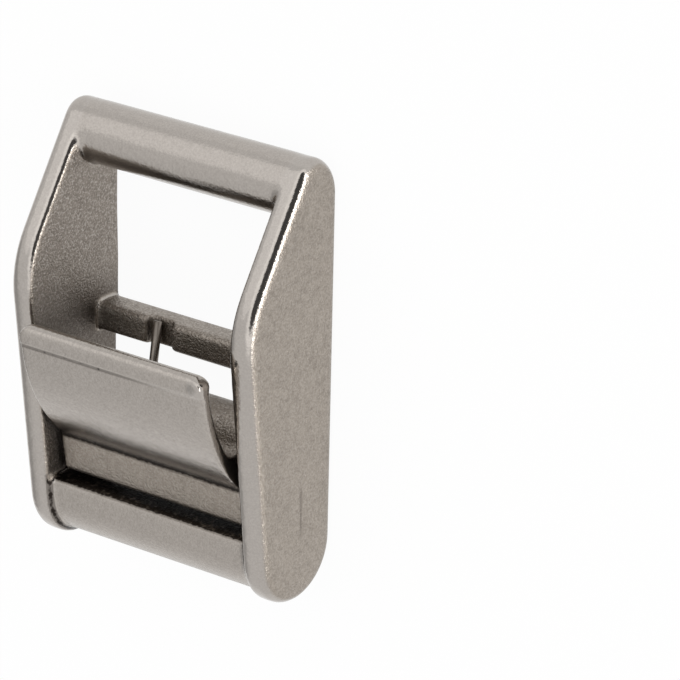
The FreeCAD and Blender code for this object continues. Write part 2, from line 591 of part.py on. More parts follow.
def make_lever(doc, s):
    """One casting: thumb plate with its bead, toothed cam, and two lugs on the pin with the spring between."""
    body = new_body(doc, "cam_lever")
    put_on_pin(body)
    at = lever_places(s)
    extrude(body, "Pad", blade_outline(body, s, at), "blade", LEVER_WIDTH, symmetric=True)
    for name, raised, length in (
            ("left_lug", f"-{LEVER_WIDTH} / 2", f"{LEVER_WIDTH} / 2 - {SLOT_LEFT}"),
            ("right_lug", SLOT_RIGHT, f"{LEVER_WIDTH} / 2 - {SLOT_RIGHT}")):
        extrude(body, "Pad", lug_outline(body, s, at, name, raised), name, length)

    boss = Profile(body, "boss_outline", raised=LEVER_WIDTH + " / 2")
    boss.ring("0", "0", "sizes.boss_radius")
    pad = extrude(body, "Pad", boss, "boss", "sizes.lever_side_gap - sizes.side_clearance")
    mirror(body, "bosses", pad)

    cut = extrude(body, "Pocket", corner_outline(body), "corner", "2 * sizes.thumb_radius", symmetric=True)
    mirror(body, "corners", cut)

    bore = Profile(body, "bore_outline")
    bore.ring("0", "0", "sizes.pin_radius + sizes.pin_clearance")
    extrude(body, "Pocket", bore, "bore", "2 * sizes.inner_width", symmetric=True)

    groove = Profile(body, "groove_outline")
    groove.sketch.setExpression("AttachmentOffset.Base.y", "sizes.cam_offset")
    deep, out = f"({CAM_RADIUS} - sizes.tooth_depth)", f"({CAM_RADIUS} + sizes.tooth_depth)"
    first, spread = "sizes.tooth_first_angle", "0.85 * sizes.tooth_angle"
    groove.polygon([(f"{radius} * cos({angle})", f"{radius} * sin({angle})") for radius, angle in (
        (deep, first), (out, f"{first} + {spread}"), (out, f"{first} - {spread}"))])
    cut = extrude(body, "Pocket", groove, "tooth_gap", "2 * sizes.inner_width", symmetric=True)
    teeth = body.newObject("PartDesign::PolarPattern", "teeth")
    teeth.Originals = [cut]
    teeth.Axis = (groove.sketch, ["N_Axis"])
    teeth.setExpression("Occurrences", "sizes.tooth_count")
    teeth.setExpression("Angle", "sizes.tooth_angle * (sizes.tooth_count - 1)")
    body.Tip = teeth
    doc.recompute()

    dress(body, "Fillet", "crease", "sizes.crease_radius", lambda edge: crosswise(edge, *at.crease, 0.01))
    dress(body, "Fillet", "cam_corner", "sizes.cam_corner_radius",
          lambda edge: crosswise(edge, *at.face_end, 0.01))
    return body


def make_pin(doc):
    """The pin is pressed through the left cheek into a blind hole in the right one."""
    body = new_body(doc, "pivot_pin")
    put_on_pin(body)
    profile = Profile(body, "pin_outline", raised="-sizes.inner_width / 2 - sizes.cheek_thickness")
    profile.ring("0", "0", "sizes.pin_radius")
    extrude(body, "Pad", profile, "shank", "sizes.inner_width + sizes.cheek_thickness + sizes.pin_seat")
    dress(body, "Chamfer", "ends", "sizes.pin_chamfer", lambda edge: near(edge.BoundBox.XLength, 0))
    return body


def wire_section(profile, across, up):
    """The wire's section as eight flats, which keeps the wound coil light."""
    profile.polygon([(f"{across} + sizes.wire_radius * cos({angle})", f"{up} + sizes.wire_radius * sin({angle})")
                     for angle in (22.5 + 45 * corner for corner in range(8))])


def make_spring(doc, s):
    """A wire coil round the pin. One leg stands in the frame's notch, the other behind the thumb plate."""
    body = new_body(doc, "torsion_spring")
    body.Placement.Rotation = FreeCAD.Rotation(FreeCAD.Vector(-1, 0, 0), s.notch_leg_tilt)
    put_on_pin(body)
    body.setExpression("Placement.Rotation.Angle", NOTCH_LEG_TILT)
    wire = Profile(body, "wire_end", plane="XZ_Plane")
    wire_section(wire, "-sizes.coil_left", "-" + COIL_RADIUS)
    coil = body.newObject("PartDesign::AdditiveHelix", "coil")
    coil.Profile = wire.sketch
    coil.ReferenceAxis = (wire.sketch, ["H_Axis"])
    coil.Mode = "pitch-turns-angle"
    coil.LeftHanded = True
    coil.setExpression("Pitch", COIL_PITCH)
    coil.setExpression("Turns", COIL_TURNS)
    doc.recompute()
    extrude(body, "Pad", wire, "notch_leg", "sizes.notch_leg", flipped=True)

    along = Profile(body, "thumb_leg_line", raised=COIL_RIGHT)
    start = (f"-{COIL_RADIUS} * sin({THUMB_LEG_ANGLE})", f"{COIL_RADIUS} * cos({THUMB_LEG_ANGLE})")
    tip = (f"{start[0]} + sizes.thumb_leg * cos({THUMB_LEG_ANGLE})",
           f"{start[1]} + sizes.thumb_leg * sin({THUMB_LEG_ANGLE})")
    along.path([start, tip])
    end = Profile(body, "thumb_leg_end", across_line=along)
    wire_section(end, "0", "0")
    extrude(body, "Pad", end, "thumb_leg", "sizes.thumb_leg", flipped=True)
    return body


def main():
    doc = FreeCAD.newDocument("cam_buckle")
    sizes = drawing_sizes(make_sheet(doc))
    bodies = [make_frame(doc, sizes), make_lever(doc, sizes), make_pin(doc), make_spring(doc, sizes)]
    doc.recompute()
    for item in doc.Objects:
        if "Invalid" in item.State or "Error" in item.State:
            raise RuntimeError(f"{item.Name} is {item.State}")
    os.makedirs("parts", exist_ok=True)
    for body in bodies:
        shape = body.Shape
        if not shape.isValid() or len(shape.Solids) != 1:
            raise RuntimeError(f"{body.Label} isn't one valid solid")
        shape.exportStep(f"parts/{body.Label}.step")
        print(body.Label, round(shape.Volume, 1), shape.BoundBox)


main()
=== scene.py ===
"""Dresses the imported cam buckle: two satin castings, a ground pin and a wound spring, on a pale floor.

Each casting starts from its CAD solid. It is rebuilt as an even skin and relaxed a little, which gives every
edge the soft round that a mould and a tumbling drum leave. The spring is one wire, swept round the pin.
"""
import json
from math import cos, hypot, pi, radians, sin, tau

import bmesh
import bpy
from bpy.props import FloatProperty, IntProperty, PointerProperty, StringProperty
from bpy.types import Operator, Panel, PropertyGroup
from mathutils import Matrix, Vector


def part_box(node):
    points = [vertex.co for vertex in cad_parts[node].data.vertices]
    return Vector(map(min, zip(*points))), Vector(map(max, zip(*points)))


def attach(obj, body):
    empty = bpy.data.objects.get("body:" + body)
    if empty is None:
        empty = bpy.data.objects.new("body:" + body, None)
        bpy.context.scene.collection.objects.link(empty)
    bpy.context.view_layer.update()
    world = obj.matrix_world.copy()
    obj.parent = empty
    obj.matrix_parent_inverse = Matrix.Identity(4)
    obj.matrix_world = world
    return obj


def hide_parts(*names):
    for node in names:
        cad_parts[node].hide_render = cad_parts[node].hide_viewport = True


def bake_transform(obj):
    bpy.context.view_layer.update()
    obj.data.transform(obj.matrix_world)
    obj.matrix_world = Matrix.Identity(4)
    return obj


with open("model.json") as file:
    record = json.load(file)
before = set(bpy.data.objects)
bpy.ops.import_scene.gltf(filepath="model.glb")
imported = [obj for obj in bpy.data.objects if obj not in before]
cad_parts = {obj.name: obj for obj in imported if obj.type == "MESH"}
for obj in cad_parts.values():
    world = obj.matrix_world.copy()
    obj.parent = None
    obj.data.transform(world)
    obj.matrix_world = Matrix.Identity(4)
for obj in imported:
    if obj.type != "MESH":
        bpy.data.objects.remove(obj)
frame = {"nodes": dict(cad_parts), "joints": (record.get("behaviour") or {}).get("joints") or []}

bl_info = {
    "name": "Cam buckle",
    "version": (1, 0, 0),
    "blender": (4, 5, 0),
    "location": "View3D > Sidebar > Buckle",
    "description": "Builds the visible pieces of a cast cam buckle around its packed model",
    "category": "Add Mesh",
}

MM = 0.001
PIN = Vector(frame["joints"][0]["pos_m"])

# Places on the frame, in mm. x is across the buckle, y along it towards the top bar, and z up from its back.
INNER_HALF = 13.5
OUTER_HALF = 16.5
INNER_ROUND = 0.4
TOP_BAR_SIDE = 17.9
KNEE_SIDE = 6.0
BOTTOM_BAR_SIDE = -16.6
SCRATCH = Vector((16.5, -14.5, 5.9))
SCRATCH_SLOPE = 0.04

# Places on the lever at rest, in mm: the middle and radius of the thumb plate's curve, the crease under it,
# and the foot of the bead along its top.
THUMB_CENTRE = Vector((0.0, 4.37, -2.24))
THUMB_RADIUS = 20.7
CREASE = Vector((0.0, -11.4, 11.33))
BEAD_FOOT = 1.35

# Two drops of extra metal, which the mould left on corners. Sizes are in mm.
CORNER_OUT = Vector((0.45, 0.35, 0.82)).normalized()
RIM_DROP = {"middle": Vector((15.6, 24.3, 5.8)), "radius": 1.1, "height": 0.1}
BEAD_DROP = {"middle": Vector((11.9, 2.7, 18.4)), "radius": 1.5, "height": 0.2}

# How far the tumbling has worn each place. 0 is as cast, 0.5 is satin and 1 is polished.
WORN_RIM = 1.0
WORN_OUTER_SIDE = 0.45
WORN_BAR = 0.9
WORN_INNER_SIDE = 0.2
WORN_ANVIL = 0.45
WORN_ANVIL_FRONT = 0.8
WORN_CROSS_BAR = 0.3
WORN_PLATE = 0.85
WORN_CAM_FACE = 0.45
WORN_HUB = 0.25

# How thick grime and painted shade lie. Up to 0.3 it is a brown film, and from about 0.4 on black patches
# form in it. The scratch and the seam are real grime; the other marks below are painted shade.
GRIME_SCRATCH = 0.22
# Painted shade on both inner sides, darker towards the bottom bar.
SHADE_INNER_LOW = 0.27
GRIME_SEAM = 0.66
# Painted shade and dark reflection on the bottom bar's face towards the cam, in the gap.
SHADE_ANVIL_FACE = 0.65
# Painted dark reflection and shade in the crease above the cam.
SHADE_CREASE = 0.75
# Painted shade along the small step at the foot of the bead.
SHADE_BEAD_FOOT = 0.42

# The photograph's camera, and where the lamps hang, in metres. Both lamps point at the object.
CAMERA_RIGHT = Vector((0.80506679, 0.02110245, -0.59280869))
CAMERA_UP = Vector((-0.24167456, 0.92433178, -0.29530352))
CAMERA_BACK = Vector((0.54172029, 0.38100584, 0.74924874))
CAMERA_SPOT = Vector((284.40, 191.82, 369.90)) * MM
SENSOR_WIDTH = 36.0
CLIP_END = 5.0
KEY_SPOT = Vector((-0.28, 0.36, 0.42))
KEY_SIZE = (0.4, 0.4)
STRIP_SPOT = Vector((0.6, 0.06, 0.09))
STRIP_SIZE = (0.5, 0.2)
FLOOR_HALF = 1.5

# The room's sides, and how far from each its shade begins and is full.
DARK_SIDE = Vector((0.58, 0.47, 0.66)).normalized()
DARK_FROM = cos(radians(32))
DARK_FULL = cos(radians(24))
GLOW_FROM = cos(radians(60))
GLOW_FULL = cos(radians(34))
DIM_SIDE = Vector((-0.9, -0.3, 0.2)).normalized()
DIM_FROM = 0.8
DIM_FULL = 0.95
CARD_SEEN_WHITE = 0.95

# Settings and outputs of nodes that are used more than once.
SMOOTH = {"interpolation_type": "SMOOTHSTEP"}
COLOUR = {"data_type": "RGBA"}
MULTIPLY = {"operation": "MULTIPLY"}
DOT = {"operation": "DOT_PRODUCT"}
DIRECTION_OUT = 0
OBJECT_OUT = 3
FACTOR_OUT = 2
MIXED_OUT = 2
OPEN_OUT = 1
DOT_OUT = 1
CAMERA_RAY = 0
GLOSSY_RAY = 3
TRANSMISSION_RAY = 6


def linear(hex_colour):
    """An sRGB hex colour as the linear RGBA that Blender's sockets take."""
    channels = [int(hex_colour[i:i + 2], 16) / 255 for i in (1, 3, 5)]
    return [c / 12.92 if c <= 0.04045 else ((c + 0.055) / 1.055) ** 2.4 for c in channels] + [1.0]


class CastingSettings(PropertyGroup):
    """Skins of the two castings."""

    frame_grain: FloatProperty(name="Frame skin", description="Edge of one facet of the frame's skin",
                               default=0.26 * MM, unit="LENGTH")
    lever_grain: FloatProperty(name="Lever skin", description="Edge of one facet of the lever's skin",
                               default=0.15 * MM, unit="LENGTH")
    frame_rounds: IntProperty(name="Frame softening", description="Times the frame's skin is relaxed",
                              default=9)
    lever_rounds: IntProperty(name="Lever softening", description="Times the lever's skin is relaxed",
                              default=4)
    extra_rounds: IntProperty(name="Extra softening", default=22,
                              description="Times the rounder rims are relaxed besides")


class SpringSettings(PropertyGroup):
    """The wound wire. Its places follow the CAD spring."""

    wire: FloatProperty(name="Wire", description="Thickness of the wire", default=1.0 * MM, unit="LENGTH")
    coil: FloatProperty(name="Coil", description="Radius of the wire's middle round the pin",
                        default=2.65 * MM, unit="LENGTH")
    pitch: FloatProperty(name="Pitch", description="Step of one turn", default=1.04 * MM, unit="LENGTH")
    turns: FloatProperty(name="Turns", description="Turns between the two legs", default=7.357)
    left: FloatProperty(name="Left end", description="Place of the first turn across the buckle",
                        default=-5.1 * MM, unit="LENGTH")
    tilt: FloatProperty(name="Leg tilt", description="Slope of the leg that stands in the notch",
                        default=radians(9.21), subtype="ANGLE")
    notch_leg: FloatProperty(name="Notch leg", description="Length of the leg that stands in the notch",
                             default=9.3 * MM, unit="LENGTH")
    thumb_leg: FloatProperty(name="Thumb leg", description="Length of the leg behind the thumb plate",
                             default=7.4 * MM, unit="LENGTH")


class FinishSettings(PropertyGroup):
    """Colours of the metals and of the floor."""

    cast: StringProperty(name="As cast", description="Casting that the tumbling didn't reach",
                         default="#8C847C")
    granule: StringProperty(name="Granules", description="Bare, bright tops of the cast skin's grain",
                            default="#D2CCC6")
    satin: StringProperty(name="Satin", description="Tumbled flats of the casting", default="#A49B91")
    polished: StringProperty(name="Polished", description="Rims and bars that the tumbling rubbed most",
                             default="#B0AAA4")
    # This brown also paints the shade in hollows and the painted shade on the low inner sides.
    stain_and_shade: StringProperty(name="Stain", description="Brown stain in pores and hollows", default="#4A423B")
    # This black also paints the shade in the crease above the cam and on the bottom bar's face towards the
    # cam.
    grime_and_shade: StringProperty(name="Grime", description="Black grease and dust in seams", default="#2C2723")
    pin: StringProperty(name="Pin", description="Ground steel", default="#A8A39C")
    wire: StringProperty(name="Wire", description="Drawn spring wire", default="#7F7871")
    floor: StringProperty(name="Floor", description="Matt card", default="#F4F4F4")


class StageSettings(PropertyGroup):
    """Camera and light."""

    focal: FloatProperty(name="Focal length", description="Lens of the photograph, for a 36 mm wide sensor",
                         default=243.5, subtype="DISTANCE_CAMERA")
    room: FloatProperty(name="Room", description="Brightness of the white room", default=0.92)
    glow: FloatProperty(name="Glow", description="Times that the room is brighter round its dark side",
                        default=1.6)
    hole: FloatProperty(name="Dark side", description="Brightness of the side behind the camera",
                        default=0.09)
    corner: FloatProperty(name="Dim corner", description="Share of the light left in the room's left corner",
                          default=0.6)
    key: FloatProperty(name="Key lamp", description="Power of the large soft lamp, in watts", default=0.15)
    strip: FloatProperty(name="Strip lamp", description="Power of the low lamp on the right, in watts",
                         default=1.9)


def node(tree, kind, settings=None, out=0, **inputs):
    """Adds a shader node and returns one of its outputs.

    An input is a value or another node's output. Its name is the socket's, with _ for a space, or _ and the
    socket's number: a mix of colours takes its share at _0 and the two colours at _6 and _7.
    """
    made = tree.nodes.new(kind)
    for name, value in (settings or {}).items():
        setattr(made, name, value)
    for name, value in inputs.items():
        socket = made.inputs[int(name[1:]) if name[1:].isdigit() else name.replace("_", " ")]
        if isinstance(value, bpy.types.NodeSocket):
            tree.links.new(value, socket)
        else:
            socket.default_value = value
    return None if out is None else made.outputs[out]


def new_material(name):
    """A material and its node tree, still empty."""
    material = bpy.data.materials.new(name)
    material.use_nodes = True
    material.node_tree.nodes.clear()
    return material, material.node_tree


def tumbled_casting(finish):
    """Investment-cast stainless steel out of a tumbling drum.

    The attribute "tumbled" goes from 0, dull brown-grey cast skin with an open grain, through satin flats
    with a fine speckle, to 1, polished rims whose slight waves make the edges of reflections ragged. The
    attribute "grime_and_shade" goes from 0, clean, through a brown film to 1, black with a torn edge; it
    holds real grease and painted shade alike. Hollows get painted brown shade by how closed in they are.
    """
    material, tree = new_material("tumbled stainless casting")
    place = node(tree, "ShaderNodeTexCoord", out=OBJECT_OUT)
    tumbled = node(tree, "ShaderNodeAttribute", {"attribute_name": "tumbled"}, out=FACTOR_OUT)
    grime_and_shade = node(tree, "ShaderNodeAttribute", {"attribute_name": "grime_and_shade"}, out=FACTOR_OUT)
    to_satin = node(tree, "ShaderNodeMapRange", SMOOTH, Value=tumbled, From_Min=0.0, From_Max=0.5)
    to_polish = node(tree, "ShaderNodeMapRange", SMOOTH, Value=tumbled, From_Min=0.5, From_Max=1.0)

    # Four patterns, from slow clouds down to the grain of the cast skin.
    cloud = node(tree, "ShaderNodeTexNoise", Vector=place, Scale=1 / (5 * MM), Detail=3.0)
    mottle = node(tree, "ShaderNodeTexNoise", Vector=place, Scale=1 / (0.8 * MM), Detail=3.0, Roughness=0.6)
    ripple = node(tree, "ShaderNodeTexNoise", Vector=place, Scale=1 / (0.55 * MM), Detail=2.0)
    grain = node(tree, "ShaderNodeTexNoise", Vector=place, Scale=1 / (0.24 * MM), Detail=2.0, Roughness=0.6)

    # Brown stain lies in blotches, which polishing takes off.
    blotch = node(tree, "ShaderNodeMapRange", Value=mottle, From_Min=0.4, From_Max=0.8)
    cloudy = node(tree, "ShaderNodeMapRange", Value=cloud, From_Min=0.3, From_Max=0.7, To_Min=0.1, To_Max=0.4)
    stained = node(tree, "ShaderNodeMath", MULTIPLY, _0=blotch, _1=cloudy)
    worn_off = node(tree, "ShaderNodeMapRange", Value=to_polish, To_Min=1.0, To_Max=0.15)
    stained = node(tree, "ShaderNodeMath", MULTIPLY, _0=stained, _1=worn_off)

    # The grain's pits are dark and its tops bright, most of all where the skin is as cast.
    pores = node(tree, "ShaderNodeMapRange", SMOOTH, Value=grain, From_Min=0.45, From_Max=0.7)
    depth = node(tree, "ShaderNodeMapRange", Value=tumbled, To_Min=0.4, To_Max=0.05)
    pored = node(tree, "ShaderNodeMath", MULTIPLY, _0=pores, _1=depth)
    tops = node(tree, "ShaderNodeMapRange", SMOOTH, Value=grain, From_Min=0.5, From_Max=0.34)
    bareness = node(tree, "ShaderNodeMapRange", Value=tumbled, From_Max=0.5, To_Min=0.6, To_Max=0.1)
    bare = node(tree, "ShaderNodeMath", MULTIPLY, _0=tops, _1=bareness)

    # Hollows get painted brown shade by how closed in they are, a brown film dulls the marked places, and
    # black grease cakes the seams; the same film and black also paint shade on the low inner sides, the
    # bottom bar's face, the crease and the bead's foot.
    open_sky = node(tree, "ShaderNodeAmbientOcclusion", {"samples": 8}, out=OPEN_OUT, Distance=2 * MM)
    # Painted shade: the colour turns brown where the ambient occlusion finds the surface closed in.
    hollow_shade = node(tree, "ShaderNodeMapRange", SMOOTH, Value=open_sky, From_Min=0.5, From_Max=0.15, To_Max=0.85)
    film_and_shade = node(tree, "ShaderNodeMapRange", SMOOTH, Value=grime_and_shade, From_Max=0.3, To_Max=0.6)
    torn = node(tree, "ShaderNodeMath", {"operation": "MULTIPLY_ADD"}, _0=ripple, _1=0.9, _2=grime_and_shade)
    caked_and_shade = node(tree, "ShaderNodeMapRange", SMOOTH, Value=torn, From_Min=0.85, From_Max=1.1)

    colour = linear(finish.cast)
    for share, layer in ((to_satin, finish.satin), (to_polish, finish.polished), (stained, finish.stain_and_shade),
                         (pored, finish.stain_and_shade), (bare, finish.granule), (hollow_shade, finish.stain_and_shade),
                         (film_and_shade, finish.stain_and_shade), (caked_and_shade, finish.grime_and_shade)):
        colour = node(tree, "ShaderNodeMix", COLOUR, out=MIXED_OUT, _0=share, _6=colour, _7=linear(layer))

    # Polishing closes the grain and makes the surface shine, but it leaves the ripple.
    even = node(tree, "ShaderNodeMapRange", Value=tumbled, To_Min=0.5, To_Max=0.13)
    uneven = node(tree, "ShaderNodeMapRange", Value=mottle, From_Min=0.3, From_Max=0.7,
                  To_Min=-0.02, To_Max=0.03)
    rough = node(tree, "ShaderNodeMath", {"operation": "ADD"}, _0=even, _1=uneven)
    open_grain = node(tree, "ShaderNodeMapRange", Value=tumbled, To_Min=0.22 * MM, To_Max=0.003 * MM)
    skin = node(tree, "ShaderNodeBump", Strength=0.8, Distance=open_grain, Height=grain)
    skin = node(tree, "ShaderNodeBump", Strength=0.8, Distance=0.03 * MM, Height=ripple, Normal=skin)
    shader = node(tree, "ShaderNodeBsdfPrincipled", Base_Color=colour, Metallic=1.0, Roughness=rough,
                  Normal=skin)
    node(tree, "ShaderNodeOutputMaterial", Surface=shader, out=None)
    return material


def ground_steel(finish):
    """A ground dowel: fine rings round its axis and a clean, even grey."""
    material, tree = new_material("ground steel")
    place = node(tree, "ShaderNodeTexCoord", out=OBJECT_OUT)
    rings = node(tree, "ShaderNodeMapping", Vector=place, Scale=(30.0, 1.0, 1.0))
    grain = node(tree, "ShaderNodeTexNoise", Vector=rings, Scale=1 / (2 * MM), Detail=2.0)
    skin = node(tree, "ShaderNodeBump", Strength=0.2, Distance=0.01 * MM, Height=grain)
    rough = node(tree, "ShaderNodeMapRange", Value=grain, From_Min=0.3, From_Max=0.7, To_Min=0.2, To_Max=0.32)
    shader = node(tree, "ShaderNodeBsdfPrincipled", Base_Color=linear(finish.pin), Metallic=1.0,
                  Roughness=rough, Normal=skin)
    node(tree, "ShaderNodeOutputMaterial", Surface=shader, out=None)
    return material


def drawn_wire(finish):
    """Hard-drawn spring wire: darker than the casting, with a soft shine."""
    material, tree = new_material("drawn spring wire")
    place = node(tree, "ShaderNodeTexCoord", out=OBJECT_OUT)
    grain = node(tree, "ShaderNodeTexNoise", Vector=place, Scale=1 / (0.4 * MM), Detail=2.0)
    rough = node(tree, "ShaderNodeMapRange", Value=grain, From_Min=0.3, From_Max=0.7, To_Min=0.26, To_Max=0.4)
    shader = node(tree, "ShaderNodeBsdfPrincipled", Base_Color=linear(finish.wire), Metallic=1.0,
                  Roughness=rough)
    node(tree, "ShaderNodeOutputMaterial", Surface=shader, out=None)
    return material


def white_card(finish):
    """Matt white card. A lens and a shiny surface see most of it plain white, and the rest takes shadow."""
    material, tree = new_material("white card")
    card = node(tree, "ShaderNodeBsdfDiffuse", Color=linear(finish.floor))
    glow = node(tree, "ShaderNodeEmission", Color=linear("#FFFFFF"), Strength=1.0)
    seen = node(tree, "ShaderNodeLightPath", out=CAMERA_RAY)
    for ray in (GLOSSY_RAY, TRANSMISSION_RAY):
        seen = node(tree, "ShaderNodeMath", {"operation": "MAXIMUM"}, _0=seen,
                    _1=node(tree, "ShaderNodeLightPath", out=ray))
    share = node(tree, "ShaderNodeMath", MULTIPLY, _0=seen, _1=CARD_SEEN_WHITE)
    mixed = node(tree, "ShaderNodeMixShader", _0=share, _1=card, _2=glow)
    node(tree, "ShaderNodeOutputMaterial", Surface=mixed, out=None)
    return material


def white_room(stage):
    """A white room whose dark side, behind the camera, is mirrored in the rounded rims as a dark line.

    The walls glow next to the dark side, and one corner low on the left is dim.
    """
    world = bpy.data.worlds.new("white room")
    world.use_nodes = True
    tree = world.node_tree
    tree.nodes.clear()
    towards = node(tree, "ShaderNodeTexCoord", out=DIRECTION_OUT)
    facing = node(tree, "ShaderNodeVectorMath", DOT, out=DOT_OUT, _0=towards, _1=DARK_SIDE)
    wall = node(tree, "ShaderNodeMapRange", SMOOTH, Value=facing, From_Min=GLOW_FROM, From_Max=GLOW_FULL,
                To_Min=stage.room, To_Max=stage.room * stage.glow)
    dark = node(tree, "ShaderNodeMapRange", SMOOTH, Value=facing, From_Min=DARK_FROM, From_Max=DARK_FULL)
    aside = node(tree, "ShaderNodeVectorMath", DOT, out=DOT_OUT, _0=towards, _1=DIM_SIDE)
    shade = node(tree, "ShaderNodeMapRange", SMOOTH, Value=aside, From_Min=DIM_FROM, From_Max=DIM_FULL,
                 To_Min=1.0, To_Max=stage.corner)
    wall = node(tree, "ShaderNodeMath", MULTIPLY, _0=wall, _1=shade)
    level = node(tree, "ShaderNodeMix", {"data_type": "FLOAT"}, _0=dark, _2=wall, _3=stage.hole)
    glow = node(tree, "ShaderNodeBackground", Color=linear("#FFFFFF"), Strength=level)
    node(tree, "ShaderNodeOutputWorld", Surface=glow, out=None)
    return world


def new_piece(shape, name):
    """Turns a bmesh into an object in the scene."""
    mesh = bpy.data.meshes.new(name)
    shape.to_mesh(mesh)
    shape.free()
    piece = bpy.data.objects.new(name, mesh)
    bpy.context.scene.collection.objects.link(piece)
    return piece


def cad_copy(name, new_name):
    """A copy of a CAD node whose loose triangles are merged into one closed mesh."""
    mesh = frame["nodes"][name].data.copy()
    mesh.name = new_name
    mesh.materials.clear()
    piece = bpy.data.objects.new(new_name, mesh)
    bpy.context.scene.collection.objects.link(piece)
    solid = bmesh.new()
    solid.from_mesh(mesh)
    bmesh.ops.remove_doubles(solid, verts=solid.verts, dist=0.5e-6)
    solid.to_mesh(mesh)
    solid.free()
    return piece


def apply_modifiers(piece):
    """Gives the piece the mesh that its modifiers make, and takes the modifiers off."""
    depsgraph = bpy.context.evaluated_depsgraph_get()
    mesh = bpy.data.meshes.new_from_object(piece.evaluated_get(depsgraph), depsgraph=depsgraph)
    piece.modifiers.clear()
    piece.data = mesh
    mesh.name = piece.name


def relax(piece, rounds, group=""):
    """Lets each facet's points slide towards their neighbours, all of them or those of one vertex group."""
    softening = piece.modifiers.new("relax", "SMOOTH")
    softening.factor = 0.5
    softening.iterations = rounds
    softening.vertex_group = group


def soft_skin(piece, grain, rounds, extra_rounds, extra):
    """Rebuilds the piece as even facets and relaxes them, so that edges and inner corners come out round.

    The last argument tells by how much a place, in mm, is relaxed for the extra rounds.
    """
    skin = piece.modifiers.new("skin", "REMESH")
    skin.mode = "VOXEL"
    skin.voxel_size = grain
    skin.use_smooth_shade = True
    relax(piece, rounds)
    apply_modifiers(piece)
    group = piece.vertex_groups.new(name="rounder")
    for vert in piece.data.vertices:
        weight = extra(vert.co / MM)
        if weight > 0:
            group.add([vert.index], weight, "REPLACE")
    relax(piece, extra_rounds, "rounder")
    apply_modifiers(piece)
    piece.vertex_groups.clear()
    return piece


def ramp(value, low, high):
    """0 at low, 1 at high, and even in between."""
    return min(max((value - low) / (high - low), 0.0), 1.0)


def between(first, last, share):
    """The value that lies a share of the way from the first one to the last."""
    return first + (last - first) * share


def mark_skin(piece, name, how_far):
    """Stores a value from 0 to 1 on each point, from its place in mm and its normal."""
    marks = piece.data.attributes.new(name, "FLOAT", "POINT")
    for vert, mark in zip(piece.data.vertices, marks.data):
        mark.value = how_far(vert.co / MM, vert.normal)


def frame_tumbled(place, normal):
    """Rims and top bar are polished, outer sides and the bottom bar satin, and the rest nearly as cast."""
    side_on = ramp(abs(normal.x), 0.7, 0.97)
    across = abs(place.x)
    if across > INNER_HALF + INNER_ROUND:
        return between(WORN_RIM, WORN_OUTER_SIDE, side_on)
    if place.y > TOP_BAR_SIDE or across > INNER_HALF - INNER_ROUND:
        return between(WORN_BAR, WORN_INNER_SIDE, side_on)
    if place.y < BOTTOM_BAR_SIDE:
        return between(WORN_ANVIL, WORN_ANVIL_FRONT, ramp(normal.z, 0.2, 0.8))
    return WORN_CROSS_BAR


def frame_grime_and_shade(place, normal):
    """Grime and painted shade on the frame.

    A scratch marks the right cheek's outer side, painted shade darkens both inner sides below the knee,
    grease lies along the bottom bar's ends, and painted shade darkens the side of it that faces the cam.
    """
    side_on = ramp(abs(normal.x), 0.8, 0.95)
    across = abs(place.x)
    if across > INNER_HALF + 1.5:
        line = SCRATCH.z + SCRATCH_SLOPE * (place.y + 14)
        scratch = ramp(abs(place.z - line), 0.3, 0.1) * ramp(abs(place.y - SCRATCH.y), 4, 2)
        return GRIME_SCRATCH * scratch * ramp(place.x, OUTER_HALF - 0.3, OUTER_HALF - 0.1)
    if place.y > BOTTOM_BAR_SIDE + 0.3:
        # Painted shade on the inner sides, darker towards the bottom bar.
        inner_side = side_on * ramp(across, INNER_HALF + INNER_ROUND, INNER_HALF + 0.1)
        return SHADE_INNER_LOW * ramp(place.y, 7, 1) * inner_side
    seam = GRIME_SEAM * ramp(abs(across - INNER_HALF + 0.02), 0.33, 0.1) * (1 - side_on)
    # Painted shade: the bottom bar's face towards the cam is blackened where it looks into the dark gap.
    anvil_shade = SHADE_ANVIL_FACE * ramp(normal.y, 0.45, 0.75) * ramp(across, INNER_HALF, INNER_HALF - 0.5)
    return max(seam, anvil_shade)


def over_thumb(place):
    """How far a place stands proud of the thumb plate's curve, in mm."""
    return hypot(place.y - THUMB_CENTRE.y, place.z - THUMB_CENTRE.z) - THUMB_RADIUS


def lever_tumbled(place, normal):
    """The thumb plate's front and bead are polished, the cam's face is satin, and hub and back as cast."""
    outward = (place - THUMB_CENTRE).normalized()
    outward.x = 0
    plate = ramp(over_thumb(place), -2.0, -1.8) * ramp(normal @ outward, -0.6, -0.1)
    plate *= ramp(place.y, CREASE.y, CREASE.y + 0.3)
    cam = ramp(place.y, CREASE.y + 0.1, CREASE.y - 0.1) * ramp(normal.z, 0.5, 0.9)
    corner = ramp((place - BEAD_DROP["middle"]).length, 1.8, 1.2)
    return max(WORN_PLATE * plate, WORN_CAM_FACE * cam, corner, WORN_HUB)


def lever_painted_shade(place, _normal):
    """Painted shade in the crease above the cam, a dark band where the plate mirrors the shaded cam face, and
    faintly along the step at the foot of the bead, most on the left.
    """
    from_crease = hypot(place.y - CREASE.y, place.z - CREASE.z)
    # Painted dark band in the crease: a painted reflection of the shaded cam face.
    crease = SHADE_CREASE * ramp(from_crease, 0.5, 0.12)
    # Painted shade along the step at the bead's foot, fading towards the right.
    bead = SHADE_BEAD_FOOT * ramp(abs(place.y - BEAD_FOOT), 0.3, 0.1) * ramp(over_thumb(place), -0.4, -0.1)
    return max(crease, bead * ramp(place.x, 9, -2))


def frame_rounder(place):
    """The cheeks' inner rims are rounder on the slant than below the knee."""
    across = abs(place.x)
    return ramp(place.y, KNEE_SIDE, KNEE_SIDE + 6) * ramp(across, 12.6, 13.1) * ramp(across, 15.2, 14.6)


